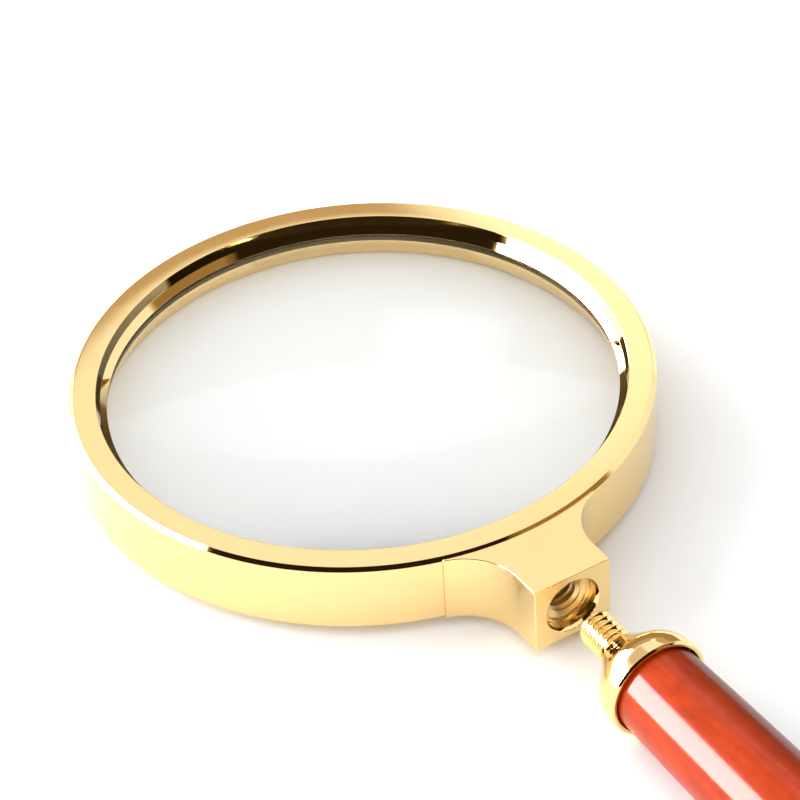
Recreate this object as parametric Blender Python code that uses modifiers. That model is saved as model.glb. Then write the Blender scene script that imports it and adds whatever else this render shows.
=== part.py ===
"""Hand magnifier with a screw-on turned handle.

A gold-plated head (ring, bezel, glass and a square neck) lies flat with its
glass axis along +Z. The handle lies on the neck's threaded hole, along -Y,
unscrewed by REST_GAP and the stud's whole thread. The origin is under the
middle of the whole.
"""
import math

import bmesh
import bpy
from mathutils import Matrix

MM = 0.001
COLLECTION = "magnifying_glass"
HEAD_STEPS = 72
HANDLE_STEPS = 40
THREAD_STEPS = 24
INNER_STEPS = 16
GAP = 0.3 * MM

# Head, measured from the ring's centre and its underside.
RING_R = 50.0 * MM
RING_H = 12.35 * MM
RING_EDGE = 0.35 * MM
LENS_R = 45.0 * MM
LENS_EDGE_LOW = 7.2 * MM
LENS_EDGE_HIGH = 9.15 * MM
LENS_SAG = 3.3 * MM
LENS_CURVE_STEPS = 6
LIP_R = 43.7 * MM
SEAT_R = 45.4 * MM
SEAT_Z = 6.3 * MM
GASKET_T = 0.3 * MM
BEZEL_TOP = 12.5 * MM
BEZEL_FLANGE_R = 49.1 * MM
BEZEL_FLANGE_T = 1.0 * MM
BEZEL_SKIRT_R = 47.3 * MM
BEZEL_SKIRT_LOW = 9.8 * MM
BEZEL_MOUTH_R = 45.35 * MM
BEZEL_MOUTH_DROP = 0.15 * MM
BEZEL_EDGE = 0.35 * MM
BEZEL_LIP_RUN = 0.9 * MM
BEZEL_LIP_RISE = 1.3 * MM
BEZEL_WALL_RISE = 1.4 * MM
BEZEL_WALL_LEAN = 0.35 * MM
REAR_MOUTH_R = 44.8 * MM
REAR_MOUTH_DEPTH = 2.0 * MM
LIP_T = 1.2 * MM

# Neck: a square block that flares into a saddle foot against the ring.
NECK_W = 14.3 * MM
NECK_FACE = 62.9 * MM
SADDLE_GAP = 0.25 * MM
FOOT_T = 0.45 * MM
FLARE_R = 10.5 * MM
FLARE_STEPS = 12
SADDLE_STEPS = 16

# Socket and stud: a 1/4 in, 20 threads an inch, right-hand thread.
PITCH = 1.27 * MM
STUD_MAJOR_R = 3.10 * MM
STUD_MINOR_R = 2.42 * MM
CREST_HALF = 0.10 * MM
FLANK = math.tan(math.radians(30.0))
THREAD_CLEAR = 0.12 * MM
SOCKET_MINOR_R = 2.60 * MM
SOCKET_MAJOR_R = 3.28 * MM
SOCKET_DEPTH = 10.4 * MM
SOCKET_MOUTH_R = 5.1 * MM
COUNTERBORE_R = 4.75 * MM
COUNTERBORE_DEPTH = 2.4 * MM
SOCKET_STEP_R = 3.9 * MM
SOCKET_STEP_RUN = 0.8 * MM
MOUTH_CHAMFER = 0.35 * MM
DRILL_POINT = 1.0 * MM
CUTTER_EXTRA = 1.0 * MM
ROOT_OVERLAP = 0.15 * MM
SOCKET_TURNS = 6
THREAD_END_ROOM = 0.4 * MM
GROOVE_EXTRA = 0.14 * MM

# Handle, measured from its stud's tip.
REST_GAP = 5.5 * MM
THREAD_LEN = 8.9 * MM
STUD_LEN = 22.0 * MM
STUD_SHANK_R = 2.9 * MM
STUD_TIP_RUN = 0.7 * MM
STUD_TIP_DROP = 0.1 * MM
STUD_TAIL_EDGE = 0.5 * MM
RELIEF_START = -0.2 * MM
RELIEF_END = 1.0 * MM
RELIEF_RUN = 0.4 * MM
TAIL_GROOVES = 5
TAIL_GROOVE_PITCH = 1.6 * MM
TAIL_GROOVE_DEPTH = 0.4 * MM
NOSE = 6.5 * MM
NOSE_R = 3.9 * MM
FERRULE_R = 8.7 * MM
FERRULE_BACK = 17.5 * MM
FERRULE_EDGE = 0.35 * MM
FERRULE_EDGE_RUN = 0.4 * MM
FERRULE_RIM = 3.0 * MM
FERRULE_CUP = 0.6 * MM
FERRULE_FLARE = (
    (8.55 * MM, 13.8 * MM),
    (8.20 * MM, 13.0 * MM),
    (7.15 * MM, 11.6 * MM),
    (5.85 * MM, 9.6 * MM),
    (4.45 * MM, 7.4 * MM),
)
FERRULE_BORE_R = 3.4 * MM
POCKET_R = 5.8 * MM
POCKET_START = 12.7 * MM
SHOULDER = 16.1 * MM
TENON_LEN = 3.1 * MM
GRIP_START_R = 7.45 * MM
GRIP_BELLY_R = 8.1 * MM
GRIP_END_R = 7.2 * MM
GRIP_END = 106.4 * MM
GRIP_SWELL_POWER = 0.8
GRIP_STEPS = 10
INSERT_R = 3.9 * MM
INSERT_BORE_R = 3.2 * MM
INSERT_LEN = 11.0 * MM
INSERT_BARBS = 4
BARB_DEPTH = 0.3 * MM
BARB_RUN = 0.6 * MM
BARB_LAND = 0.2 * MM
CAP_END = 115.8 * MM
CAP_FLAT_R = 3.2 * MM
CAP_DOME = (
    (5.6 * MM, 0.7 * MM),
    (7.3 * MM, 1.9 * MM),
    (8.1 * MM, 3.4 * MM),
    (8.4 * MM, 4.8 * MM),
    (8.2 * MM, 6.0 * MM),
    (7.7 * MM, 6.8 * MM),
    (7.7 * MM, 7.4 * MM),
)
CAP_BEAD = (
    (8.2 * MM, 1.2 * MM),
    (8.2 * MM, 0.4 * MM),
    (7.8 * MM, 0.0 * MM),
)
CAP_STUD_R = 2.0 * MM
CAP_STUD_LEN = 17.0 * MM
CAP_STUD_INTO_CAP = 5.0 * MM
CAP_STUD_GROOVES = 9
CAP_STUD_PITCH = 1.6 * MM
CAP_STUD_GROOVE = 0.4 * MM
CAP_STUD_LAND = 0.9 * MM
CAP_STUD_TIP = 0.6 * MM
MERGE = 0.02 * MM
SHARP_ANGLE = math.radians(30.0)

# Places in the part's frame.
HANDLE_REACH = NECK_FACE + REST_GAP + CAP_END
RING_Y = (HANDLE_REACH - RING_R) / 2.0
AXIS_Z = FERRULE_R
RING_Z = AXIS_Z - RING_H / 2.0
MOUTH_Y = RING_Y - NECK_FACE
TIP_Y = MOUTH_Y - REST_GAP
ALONG_HANDLE = Matrix.Rotation(math.pi / 2.0, 4, "X")

GOLD = ((0.93, 0.66, 0.24), 0.08, 1.0)
ROSEWOOD = ((0.42, 0.06, 0.015), 0.12, 0.0)
GLASS = ((0.93, 0.97, 0.95), 0.02, 0.0)
FIBRE = ((0.16, 0.14, 0.12), 0.8, 0.0)
STEEL = ((0.55, 0.55, 0.56), 0.35, 1.0)


def clear_scene():
    """Remove every object, so the script can be run again."""
    for obj in list(bpy.data.objects):
        bpy.data.objects.remove(obj, do_unlink=True)


def new_collection(name):
    """Make a collection under the scene."""
    collection = bpy.data.collections.new(name)
    bpy.context.scene.collection.children.link(collection)
    return collection


def finish(obj, look):
    """Give an object its own Principled material."""
    colour, roughness, metallic = look
    material = bpy.data.materials.new(obj.name)
    material.use_nodes = True
    shader = material.node_tree.nodes["Principled BSDF"]
    shader.inputs["Base Color"].default_value = (*colour, 1.0)
    shader.inputs["Roughness"].default_value = roughness
    shader.inputs["Metallic"].default_value = metallic
    obj.data.materials.append(material)


def add_turned(name, outline, collection, steps):
    """Turn an outline of (radius, height) points about local Z.

    The outline runs down the outer side. One that starts and ends on the
    axis is left open, and any other is closed up its bore.
    """
    count = len(outline)
    edges = [(i, i + 1) for i in range(count - 1)]
    if outline[0][0] > 0.0:
        edges.append((count - 1, 0))
    mesh = bpy.data.meshes.new(name)
    mesh.from_pydata([(r, 0.0, z) for r, z in outline], edges, [])
    obj = bpy.data.objects.new(name, mesh)
    collection.objects.link(obj)
    screw = obj.modifiers.new("turn", "SCREW")
    screw.steps = steps
    screw.render_steps = steps
    screw.use_merge_vertices = True
    screw.merge_threshold = MERGE
    return obj


def add_coil(name, section, first, turns, collection):
    """Sweep a closed (radius, height) section along a right-hand helix."""
    bm = bmesh.new()
    corners = [bm.verts.new((r, 0.0, z + first)) for r, z in section]
    bm.faces.new(corners)
    bmesh.ops.spin(
        bm,
        geom=bm.verts[:] + bm.edges[:] + bm.faces[:],
        axis=(0.0, 0.0, 1.0),
        dvec=(0.0, 0.0, PITCH / THREAD_STEPS),
        angle=2.0 * math.pi * turns,
        steps=THREAD_STEPS * turns,
    )
    bmesh.ops.recalc_face_normals(bm, faces=bm.faces[:])
    mesh = bpy.data.meshes.new(name)
    bm.to_mesh(mesh)
    bm.free()
    obj = bpy.data.objects.new(name, mesh)
    collection.objects.link(obj)
    return obj


def hide_cutter(obj):
    """Show a cutter as wire and keep it out of renders."""
    obj.hide_render = True
    obj.display_type = "WIRE"


def cut(obj, cutter):
    """Subtract a cutter from an object."""
    hide_cutter(cutter)
    boolean = obj.modifiers.new("cut_" + cutter.name, "BOOLEAN")
    boolean.operation = "DIFFERENCE"
    boolean.solver = "EXACT"
    boolean.object = cutter


def place_head(obj):
    """Stand a head piece on the ring's axis."""
    obj.location = (0.0, RING_Y, RING_Z)


def place_handle(obj, y):
    """Lay a handle piece on the handle's axis, its local Z along -Y."""
    obj.matrix_world = Matrix.Translation((0.0, y, AXIS_Z)) @ ALONG_HANDLE


def smooth(obj):
    """Shade a turned piece smooth between its sharp edges."""
    obj.data.shade_smooth()
    obj.data.set_sharp_from_angle(angle=SHARP_ANGLE)


def arc(centre, radius, start, end, steps):
    """Points of an arc, with angles in radians."""
    points = []
    for i in range(steps + 1):
        angle = start + (end - start) * i / steps
        points.append((centre[0] + radius * math.cos(angle),
                       centre[1] + radius * math.sin(angle)))
    return points


def make_frame_ring(parts):
    """Outer band with the rear mouth, the glass seat and the bezel's thread."""
    rebate_r = BEZEL_FLANGE_R + GAP
    rebate_z = BEZEL_TOP - BEZEL_FLANGE_T - GAP
    thread_r = BEZEL_SKIRT_R + GAP
    outline = [
        (rebate_r, RING_H),
        (RING_R - RING_EDGE, RING_H),
        (RING_R, RING_H - RING_EDGE),
        (RING_R, RING_EDGE),
        (RING_R - RING_EDGE, 0.0),
        (REAR_MOUTH_R, 0.0),
        (REAR_MOUTH_R - GAP, REAR_MOUTH_DEPTH),
        (LIP_R, SEAT_Z - LIP_T),
        (LIP_R, SEAT_Z),
        (SEAT_R, SEAT_Z),
        (SEAT_R, BEZEL_SKIRT_LOW - GAP),
        (thread_r, BEZEL_SKIRT_LOW - GAP),
        (thread_r, rebate_z),
        (rebate_r, rebate_z),
    ]
    ring = add_turned("frame_ring", outline, parts, HEAD_STEPS)
    place_head(ring)
    finish(ring, GOLD)
    return ring


def make_front_bezel(parts):
    """Screwed-in flange ring whose lip holds the glass down."""
    flange_low = BEZEL_TOP - BEZEL_FLANGE_T
    lip_z = LENS_EDGE_HIGH + GAP
    outline = [
        (BEZEL_MOUTH_R, BEZEL_TOP - BEZEL_MOUTH_DROP),
        (BEZEL_SKIRT_R, BEZEL_TOP),
        (BEZEL_FLANGE_R - BEZEL_EDGE, BEZEL_TOP),
        (BEZEL_FLANGE_R, BEZEL_TOP - BEZEL_EDGE),
        (BEZEL_FLANGE_R, flange_low),
        (BEZEL_SKIRT_R, flange_low),
        (BEZEL_SKIRT_R, BEZEL_SKIRT_LOW),
        (SEAT_R - GAP, BEZEL_SKIRT_LOW),
        (SEAT_R - GAP, lip_z),
        (LIP_R, lip_z),
        (LIP_R + BEZEL_LIP_RUN, lip_z + BEZEL_LIP_RISE),
        (BEZEL_MOUTH_R - BEZEL_WALL_LEAN, lip_z + BEZEL_WALL_RISE),
    ]
    bezel = add_turned("front_bezel", outline, parts, HEAD_STEPS)
    place_head(bezel)
    finish(bezel, GOLD)
    return bezel


def make_lens(parts):
    """Biconvex magnifying glass with a ground edge."""
    radius = (LENS_R ** 2 + LENS_SAG ** 2) / (2.0 * LENS_SAG)
    half = math.asin(LENS_R / radius)
    upper = arc((0.0, LENS_EDGE_HIGH + LENS_SAG - radius), radius,
                math.pi / 2.0, math.pi / 2.0 - half, LENS_CURVE_STEPS)
    lower = arc((0.0, LENS_EDGE_LOW - LENS_SAG + radius), radius,
                -math.pi / 2.0 + half, -math.pi / 2.0, LENS_CURVE_STEPS)
    upper[0] = (0.0, upper[0][1])
    lower[-1] = (0.0, lower[-1][1])
    lens = add_turned("lens", upper + lower, parts, HEAD_STEPS)
    place_head(lens)
    finish(lens, GLASS)
    return lens


def make_lens_gasket(parts):
    """Thin cushion between the ring's seat and the glass."""
    low = SEAT_Z + GAP
    outline = [
        (SEAT_R - GAP, low + GASKET_T),
        (SEAT_R - GAP, low),
        (LIP_R + GAP, low),
        (LIP_R + GAP, low + GASKET_T),
    ]
    gasket = add_turned("lens_gasket", outline, parts, HEAD_STEPS)
    place_head(gasket)
    finish(gasket, FIBRE)
    return gasket


def neck_outline():
    """Plan outline of the neck, about the ring's centre, with -Y outwards."""
    half = NECK_W / 2.0
    inner_r = RING_R + SADDLE_GAP
    outer_r = inner_r + FOOT_T
    across = half + FLARE_R
    reach = math.sqrt((outer_r + FLARE_R) ** 2 - across ** 2)
    foot_angle = math.atan2(across, reach)
    flare = arc((across, -reach), FLARE_R, math.pi,
                math.pi / 2.0 + foot_angle, FLARE_STEPS)
    right = [(half, -NECK_FACE)] + flare
    left = [(-x, y) for x, y in reversed(right)]
    saddle = arc((0.0, 0.0), inner_r, -math.pi / 2.0 + foot_angle,
                 -math.pi / 2.0 - foot_angle, SADDLE_STEPS)
    return right + saddle + left


def make_socket_bore(cutters):
    """Drilled and countersunk hole for the stud."""
    outline = [
        (0.0, CUTTER_EXTRA),
        (SOCKET_MOUTH_R, CUTTER_EXTRA),
        (SOCKET_MOUTH_R, 0.0),
        (COUNTERBORE_R, -MOUTH_CHAMFER),
        (COUNTERBORE_R, -COUNTERBORE_DEPTH),
        (SOCKET_STEP_R, -COUNTERBORE_DEPTH),
        (SOCKET_MINOR_R, -COUNTERBORE_DEPTH - SOCKET_STEP_RUN),
        (SOCKET_MINOR_R, -SOCKET_DEPTH),
        (0.0, -SOCKET_DEPTH - DRILL_POINT),
    ]
    bore = add_turned("socket_bore", outline, cutters, THREAD_STEPS)
    place_handle(bore, MOUTH_Y)
    return bore


def make_socket_thread(cutters):
    """Helical groove of the socket, in step with the stud's crests."""
    root = SOCKET_MINOR_R - ROOT_OVERLAP
    reach = STUD_MAJOR_R - root
    wide = CREST_HALF + THREAD_CLEAR + FLANK * reach
    narrow = CREST_HALF + THREAD_CLEAR - FLANK * (SOCKET_MAJOR_R - STUD_MAJOR_R)
    section = [(root, -wide), (SOCKET_MAJOR_R, -narrow), (SOCKET_MAJOR_R, narrow), (root, wide)]
    first = REST_GAP + PITCH / 2.0
    deepest = THREAD_END_ROOM - SOCKET_DEPTH
    while first > deepest + PITCH:
        first -= PITCH
    coil = add_coil("socket_thread", section, first, SOCKET_TURNS, cutters)
    place_handle(coil, MOUTH_Y)
    return coil


def make_neck_block(parts, cutters):
    """Square neck with concave flares, a saddle foot and a threaded socket."""
    bm = bmesh.new()
    bm.faces.new([bm.verts.new((x, y, 0.0)) for x, y in neck_outline()])
    bmesh.ops.recalc_face_normals(bm, faces=bm.faces[:])
    mesh = bpy.data.meshes.new("neck_block")
    bm.to_mesh(mesh)
    bm.free()
    neck = bpy.data.objects.new("neck_block", mesh)
    parts.objects.link(neck)
    place_head(neck)
    slab = neck.modifiers.new("height", "SOLIDIFY")
    slab.thickness = RING_H
    slab.offset = 1.0
    cut(neck, make_socket_bore(cutters))
    cut(neck, make_socket_thread(cutters))
    finish(neck, GOLD)
    return neck


def make_stud_groove(cutters):
    """Helical groove that leaves the stud's thread standing."""
    middle = PITCH / 2.0
    floor_half = middle - CREST_HALF - FLANK * (STUD_MAJOR_R - STUD_MINOR_R)
    outer = STUD_MAJOR_R + GROOVE_EXTRA
    outer_half = middle - CREST_HALF + FLANK * (outer - STUD_MAJOR_R)
    section = [(STUD_MINOR_R, -floor_half), (outer, -outer_half),
               (outer, outer_half), (STUD_MINOR_R, floor_half)]
    turns = round(THREAD_LEN / PITCH) + 1
    coil = add_coil("stud_groove", section, -PITCH, turns, cutters)
    place_handle(coil, TIP_Y)
    return coil


def make_threaded_stud(parts, cutters):
    """Stud that screws into the socket and runs back into the grip."""
    outline = [
        (0.0, STUD_LEN),
        (STUD_SHANK_R - STUD_TAIL_EDGE, STUD_LEN),
        (STUD_SHANK_R, STUD_LEN - STUD_TAIL_EDGE),
    ]
    for i in range(TAIL_GROOVES):
        z = STUD_LEN - (i + 1) * TAIL_GROOVE_PITCH
        outline += [(STUD_SHANK_R, z),
                    (STUD_SHANK_R - TAIL_GROOVE_DEPTH, z - TAIL_GROOVE_DEPTH),
                    (STUD_SHANK_R, z - 2.0 * TAIL_GROOVE_DEPTH)]
    outline += [
        (STUD_SHANK_R, THREAD_LEN + RELIEF_END + RELIEF_RUN),
        (STUD_MINOR_R, THREAD_LEN + RELIEF_END),
        (STUD_MINOR_R, THREAD_LEN + RELIEF_START),
        (STUD_MAJOR_R, THREAD_LEN + RELIEF_START - RELIEF_RUN),
        (STUD_MAJOR_R, STUD_TIP_RUN),
        (STUD_MINOR_R - STUD_TIP_DROP, 0.0),
        (0.0, 0.0),
    ]
    stud = add_turned("threaded_stud", outline, parts, THREAD_STEPS)
    place_handle(stud, TIP_Y)
    cut(stud, make_stud_groove(cutters))
    finish(stud, GOLD)
    return stud


def make_ferrule(parts):
    """Flared collar between the stud and the grip, cupped round the grip."""
    rim = [
        (FERRULE_R - FERRULE_EDGE, FERRULE_BACK),
        (FERRULE_R, FERRULE_BACK - FERRULE_EDGE_RUN),
        (FERRULE_R, FERRULE_BACK - FERRULE_RIM),
    ]
    flare = rim + list(FERRULE_FLARE) + [(NOSE_R, NOSE)]
    bore = [
        (FERRULE_BORE_R, NOSE),
        (FERRULE_BORE_R, POCKET_START),
        (POCKET_R, POCKET_START),
        (POCKET_R, SHOULDER),
        (GRIP_START_R + GAP, SHOULDER),
        (FERRULE_R - FERRULE_CUP, FERRULE_BACK),
    ]
    ferrule = add_turned("ferrule", flare + bore, parts, HANDLE_STEPS)
    place_handle(ferrule, TIP_Y)
    finish(ferrule, GOLD)
    return ferrule


def grip_radius(t):
    """Radius of the grip at t, from 0 at its shoulder to 1 at its cap."""
    base = GRIP_START_R + (GRIP_END_R - GRIP_START_R) * t
    swell = GRIP_BELLY_R - (GRIP_START_R + GRIP_END_R) / 2.0
    return base + swell * math.sin(math.pi * t) ** GRIP_SWELL_POWER


def make_grip(parts):
    """Turned wooden grip, bored at both ends, with a tenon at each."""
    start = SHOULDER + GAP
    length = GRIP_END - start
    tenon_r = POCKET_R - GAP
    side = []
    for i in range(GRIP_STEPS + 1):
        t = 1.0 - i / GRIP_STEPS
        side.append((grip_radius(t), start + length * t))
    insert_end = POCKET_START + GAP + INSERT_LEN + GAP
    stud_start = GRIP_END + CAP_STUD_INTO_CAP - CAP_STUD_LEN - GAP
    cap_bore_r = CAP_STUD_R + GAP
    outline = [
        (cap_bore_r, GRIP_END + TENON_LEN),
        (tenon_r, GRIP_END + TENON_LEN),
        (tenon_r, GRIP_END),
    ]
    outline += side
    outline += [
        (tenon_r, start),
        (tenon_r, start - TENON_LEN),
        (INSERT_R + GAP, start - TENON_LEN),
        (INSERT_R + GAP, insert_end),
        (0.0, insert_end),
    ]
    bored = [(0.0, stud_start), (cap_bore_r, stud_start)] + outline
    grip = add_turned("grip", bored, parts, HANDLE_STEPS)
    place_handle(grip, TIP_Y)
    finish(grip, ROSEWOOD)
    return grip


def make_grip_insert(parts):
    """Barbed brass sleeve in the grip that takes the stud's tail."""
    low = SHOULDER + GAP - TENON_LEN
    step = INSERT_LEN / INSERT_BARBS
    outline = []
    for i in range(INSERT_BARBS):
        top = low + INSERT_LEN - i * step
        outline += [(INSERT_R - BARB_DEPTH, top), (INSERT_R, top - step + BARB_RUN),
                    (INSERT_R, top - step + BARB_LAND)]
    outline += [(INSERT_R - BARB_DEPTH, low), (INSERT_BORE_R, low),
                (INSERT_BORE_R, low + INSERT_LEN)]
    insert = add_turned("grip_insert", outline, parts, THREAD_STEPS)
    place_handle(insert, TIP_Y)
    finish(insert, GOLD)
    return insert


def make_end_cap(parts):
    """Domed cap with a bead at the grip and a small flat at its end."""
    front = GRIP_END + GAP
    rim = [(CAP_FLAT_R, CAP_END)]
    rim += [(r, CAP_END - drop) for r, drop in CAP_DOME]
    rim += [(r, front + rise) for r, rise in CAP_BEAD]
    stud_end = GRIP_END + CAP_STUD_INTO_CAP + GAP
    pocket = [
        (POCKET_R, front),
        (POCKET_R, GRIP_END + TENON_LEN + GAP),
        (CAP_STUD_R + GAP, GRIP_END + TENON_LEN + GAP),
        (CAP_STUD_R + GAP, stud_end),
        (0.0, stud_end),
    ]
    cap = add_turned("end_cap", [(0.0, CAP_END)] + rim + pocket, parts, HANDLE_STEPS)
    place_handle(cap, TIP_Y)
    finish(cap, GOLD)
    return cap


def make_cap_stud(parts):
    """Grooved dowel screw that holds the end cap on the grip."""
    low = GRIP_END + CAP_STUD_INTO_CAP - CAP_STUD_LEN
    top = low + CAP_STUD_LEN
    outline = [(0.0, top), (CAP_STUD_R - CAP_STUD_GROOVE, top),
               (CAP_STUD_R, top - CAP_STUD_GROOVE)]
    for i in range(CAP_STUD_GROOVES):
        z = top - CAP_STUD_LAND - i * CAP_STUD_PITCH
        outline += [(CAP_STUD_R, z), (CAP_STUD_R - CAP_STUD_GROOVE, z - CAP_STUD_GROOVE),
                    (CAP_STUD_R, z - 2.0 * CAP_STUD_GROOVE)]
    outline += [(CAP_STUD_R, low + CAP_STUD_TIP), (CAP_STUD_R - CAP_STUD_TIP, low), (0.0, low)]
    stud = add_turned("cap_stud", outline, parts, INNER_STEPS)
    place_handle(stud, TIP_Y)
    finish(stud, STEEL)
    return stud


def main():
    """Build the head and the handle."""
    clear_scene()
    parts = new_collection(COLLECTION)
    cutters = new_collection("cutters")
    make_frame_ring(parts)
    make_front_bezel(parts)
    make_lens(parts)
    make_lens_gasket(parts)
    make_neck_block(parts, cutters)
    make_threaded_stud(parts, cutters)
    make_ferrule(parts)
    make_grip(parts)
    make_grip_insert(parts)
    make_end_cap(parts)
    make_cap_stud(parts)
    for obj in parts.objects:
        smooth(obj)


main()
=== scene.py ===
"""Looks of a hand magnifier: gold-plated head, optical glass and a lacquered handle.

Laid out as an add-on and run as a script. Each operator builds one piece, or a group
of like pieces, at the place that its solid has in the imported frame.
"""
import math

import bmesh
import bpy
from bpy.props import FloatProperty, FloatVectorProperty, IntProperty, PointerProperty
from bpy.types import Operator, Panel, PropertyGroup
from mathutils import Matrix, Vector


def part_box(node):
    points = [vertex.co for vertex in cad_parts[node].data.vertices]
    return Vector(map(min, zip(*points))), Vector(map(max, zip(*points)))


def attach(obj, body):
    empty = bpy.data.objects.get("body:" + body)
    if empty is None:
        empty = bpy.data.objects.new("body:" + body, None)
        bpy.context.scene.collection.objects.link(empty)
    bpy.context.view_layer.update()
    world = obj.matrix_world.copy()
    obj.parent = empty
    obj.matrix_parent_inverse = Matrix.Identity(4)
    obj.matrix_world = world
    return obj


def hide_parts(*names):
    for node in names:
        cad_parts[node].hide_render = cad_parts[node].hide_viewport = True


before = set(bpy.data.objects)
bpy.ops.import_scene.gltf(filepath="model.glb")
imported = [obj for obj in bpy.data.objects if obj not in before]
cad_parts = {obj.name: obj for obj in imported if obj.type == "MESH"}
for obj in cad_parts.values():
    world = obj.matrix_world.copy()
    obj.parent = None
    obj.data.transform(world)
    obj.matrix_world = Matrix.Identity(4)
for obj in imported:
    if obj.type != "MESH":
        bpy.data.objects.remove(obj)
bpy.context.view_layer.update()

bl_info = {
    "name": "Hand Magnifier",
    "version": (1, 0, 0),
    "blender": (4, 5, 0),
    "location": "View3D > Sidebar > Magnifier",
    "description": "Builds a gold-plated hand magnifier with a screw-on lacquered handle",
    "category": "Add Mesh",
}

MM = 0.001

# Places and main sizes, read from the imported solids.
RING_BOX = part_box("frame_ring")
BEZEL_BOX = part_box("front_bezel")
LENS_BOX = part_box("lens")
NECK_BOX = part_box("neck_block")
STUD_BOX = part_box("threaded_stud")
FERRULE_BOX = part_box("ferrule")
GRIP_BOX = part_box("grip")
CAP_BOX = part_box("end_cap")


def span(box, axis):
    """Length of a solid's box along one axis."""
    return box[1][axis] - box[0][axis]


RING_R = span(RING_BOX, 0) / 2.0
RING_H = span(RING_BOX, 2)
RING_PLACE = Vector((0.0, (RING_BOX[0][1] + RING_BOX[1][1]) / 2.0, RING_BOX[0][2]))
BEZEL_R = span(BEZEL_BOX, 0) / 2.0
BEZEL_TOP = BEZEL_BOX[1][2] - RING_BOX[0][2]
LENS_R = span(LENS_BOX, 0) / 2.0
LENS_LOW = LENS_BOX[0][2] - RING_BOX[0][2]
LENS_HIGH = LENS_BOX[1][2] - RING_BOX[0][2]
AXIS_Z = (FERRULE_BOX[0][2] + FERRULE_BOX[1][2]) / 2.0
MOUTH_Y = NECK_BOX[0][1]
TIP_Y = STUD_BOX[1][1]
NECK_FACE = RING_PLACE.y - MOUTH_Y
REST_GAP = MOUTH_Y - TIP_Y
STUD_LEN = span(STUD_BOX, 1)
NOSE = TIP_Y - FERRULE_BOX[1][1]
FERRULE_BACK = TIP_Y - FERRULE_BOX[0][1]
FERRULE_R = span(FERRULE_BOX, 0) / 2.0
GRIP_LOW = TIP_Y - GRIP_BOX[1][1]
GRIP_HIGH = TIP_Y - GRIP_BOX[0][1]
CAP_LOW = TIP_Y - CAP_BOX[1][1]
CAP_END = TIP_Y - CAP_BOX[0][1]
CAP_R = span(CAP_BOX, 0) / 2.0
ALONG_HANDLE = Matrix.Rotation(math.pi / 2.0, 4, "X")
HANDLE_PLACE = Matrix.Translation((0.0, TIP_Y, AXIS_Z)) @ ALONG_HANDLE
SOCKET_PLACE = Matrix.Translation((0.0, MOUTH_Y, AXIS_Z)) @ ALONG_HANDLE

# Sizes that the boxes don't give, as the solids have them. Heights in the head are from
# the ring's underside, and lengths along the handle are from the stud's tip.
LENS_EDGE_HIGH = 9.15 * MM
LIP_R = 43.7 * MM
SEAT_R = 45.4 * MM
SEAT_Z = 6.3 * MM
SKIRT_R = 47.3 * MM
SKIRT_LOW = 9.8 * MM
FLANGE_T = 1.0 * MM
MOUTH_R = 45.35 * MM
REAR_MOUTH_R = 44.8 * MM
SEAM = 0.005 * MM
TOUCHING = 1e-7
PITCH = 1.27 * MM
FLANK = math.tan(math.radians(30.0))
STUD_MAJOR_R = 3.10 * MM
STUD_MINOR_R = 2.42 * MM
STUD_SHANK_R = 2.9 * MM
THREAD_LEN = 8.9 * MM
CREST_HALF = 0.10 * MM
THREAD_CLEAR = 0.12 * MM
SOCKET_MINOR_R = 2.60 * MM
SOCKET_MAJOR_R = 3.28 * MM
SOCKET_DEPTH = 10.4 * MM
SOCKET_MOUTH_R = 5.1 * MM
COUNTERBORE_R = 4.75 * MM
COUNTERBORE_DEPTH = 2.4 * MM
SOCKET_STEP_R = 3.9 * MM
NOSE_R = 3.9 * MM
FERRULE_BORE_R = 3.4 * MM
POCKET_R = 5.8 * MM
POCKET_START = 12.7 * MM
SHOULDER = 16.1 * MM
TENON_R = 5.5 * MM
GRIP_START = 16.4 * MM
GRIP_END = 106.4 * MM
GRIP_START_R = 7.45 * MM
GRIP_BELLY_R = 8.1 * MM
GRIP_END_R = 7.2 * MM
INSERT_ROOM_R = 4.2 * MM
INSERT_ROOM_END = 24.3 * MM
CAP_STUD_ROOM_R = 2.3 * MM
CAP_STUD_START = 94.1 * MM
CAP_STUD_END = 111.7 * MM
CAP_POCKET_END = 109.8 * MM


def linear(hex_colour):
    """Turn an sRGB hex colour into linear red, green and blue."""
    values = []
    for i in (1, 3, 5):
        c = int(hex_colour[i:i + 2], 16) / 255.0
        values.append(c / 12.92 if c <= 0.04045 else ((c + 0.055) / 1.055) ** 2.4)
    return tuple(values)


def colour_property(name, description, hex_colour):
    """A colour that the panel shows."""
    return FloatVectorProperty(name=name, description=description, size=3, subtype="COLOR",
                               default=linear(hex_colour), min=0.0, max=1.0)


def length_property(name, description, metres):
    """A length that the panel shows."""
    return FloatProperty(name=name, description=description, default=metres,
                         min=0.0, subtype="DISTANCE", unit="LENGTH", precision=5)


class MagnifierSizes(PropertyGroup):
    """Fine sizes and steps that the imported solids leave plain."""

    head_steps: IntProperty(
        name="Head steps", description="Facets round the ring, bezel and glass",
        default=288, min=72)
    handle_steps: IntProperty(
        name="Handle steps", description="Facets round the ferrule, grip and cap",
        default=144, min=40)
    thread_steps: IntProperty(
        name="Thread steps", description="Facets in one turn of a thread",
        default=80, min=24)
    neck_round: length_property(
        "Neck rounding", "Width of the neck's polished edges", 0.17 * MM)
    neck_width: length_property("Neck width", "Width of the square neck", 14.3 * MM)
    flare_radius: length_property(
        "Flare radius", "Radius of the neck's concave flares", 10.5 * MM)
    saddle_gap: length_property(
        "Solder gap", "Room between the ring and the neck's saddle", 0.05 * MM)
    foot_height: length_property(
        "Foot height", "Thickness of the saddle foot's edge", 0.4 * MM)


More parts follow.
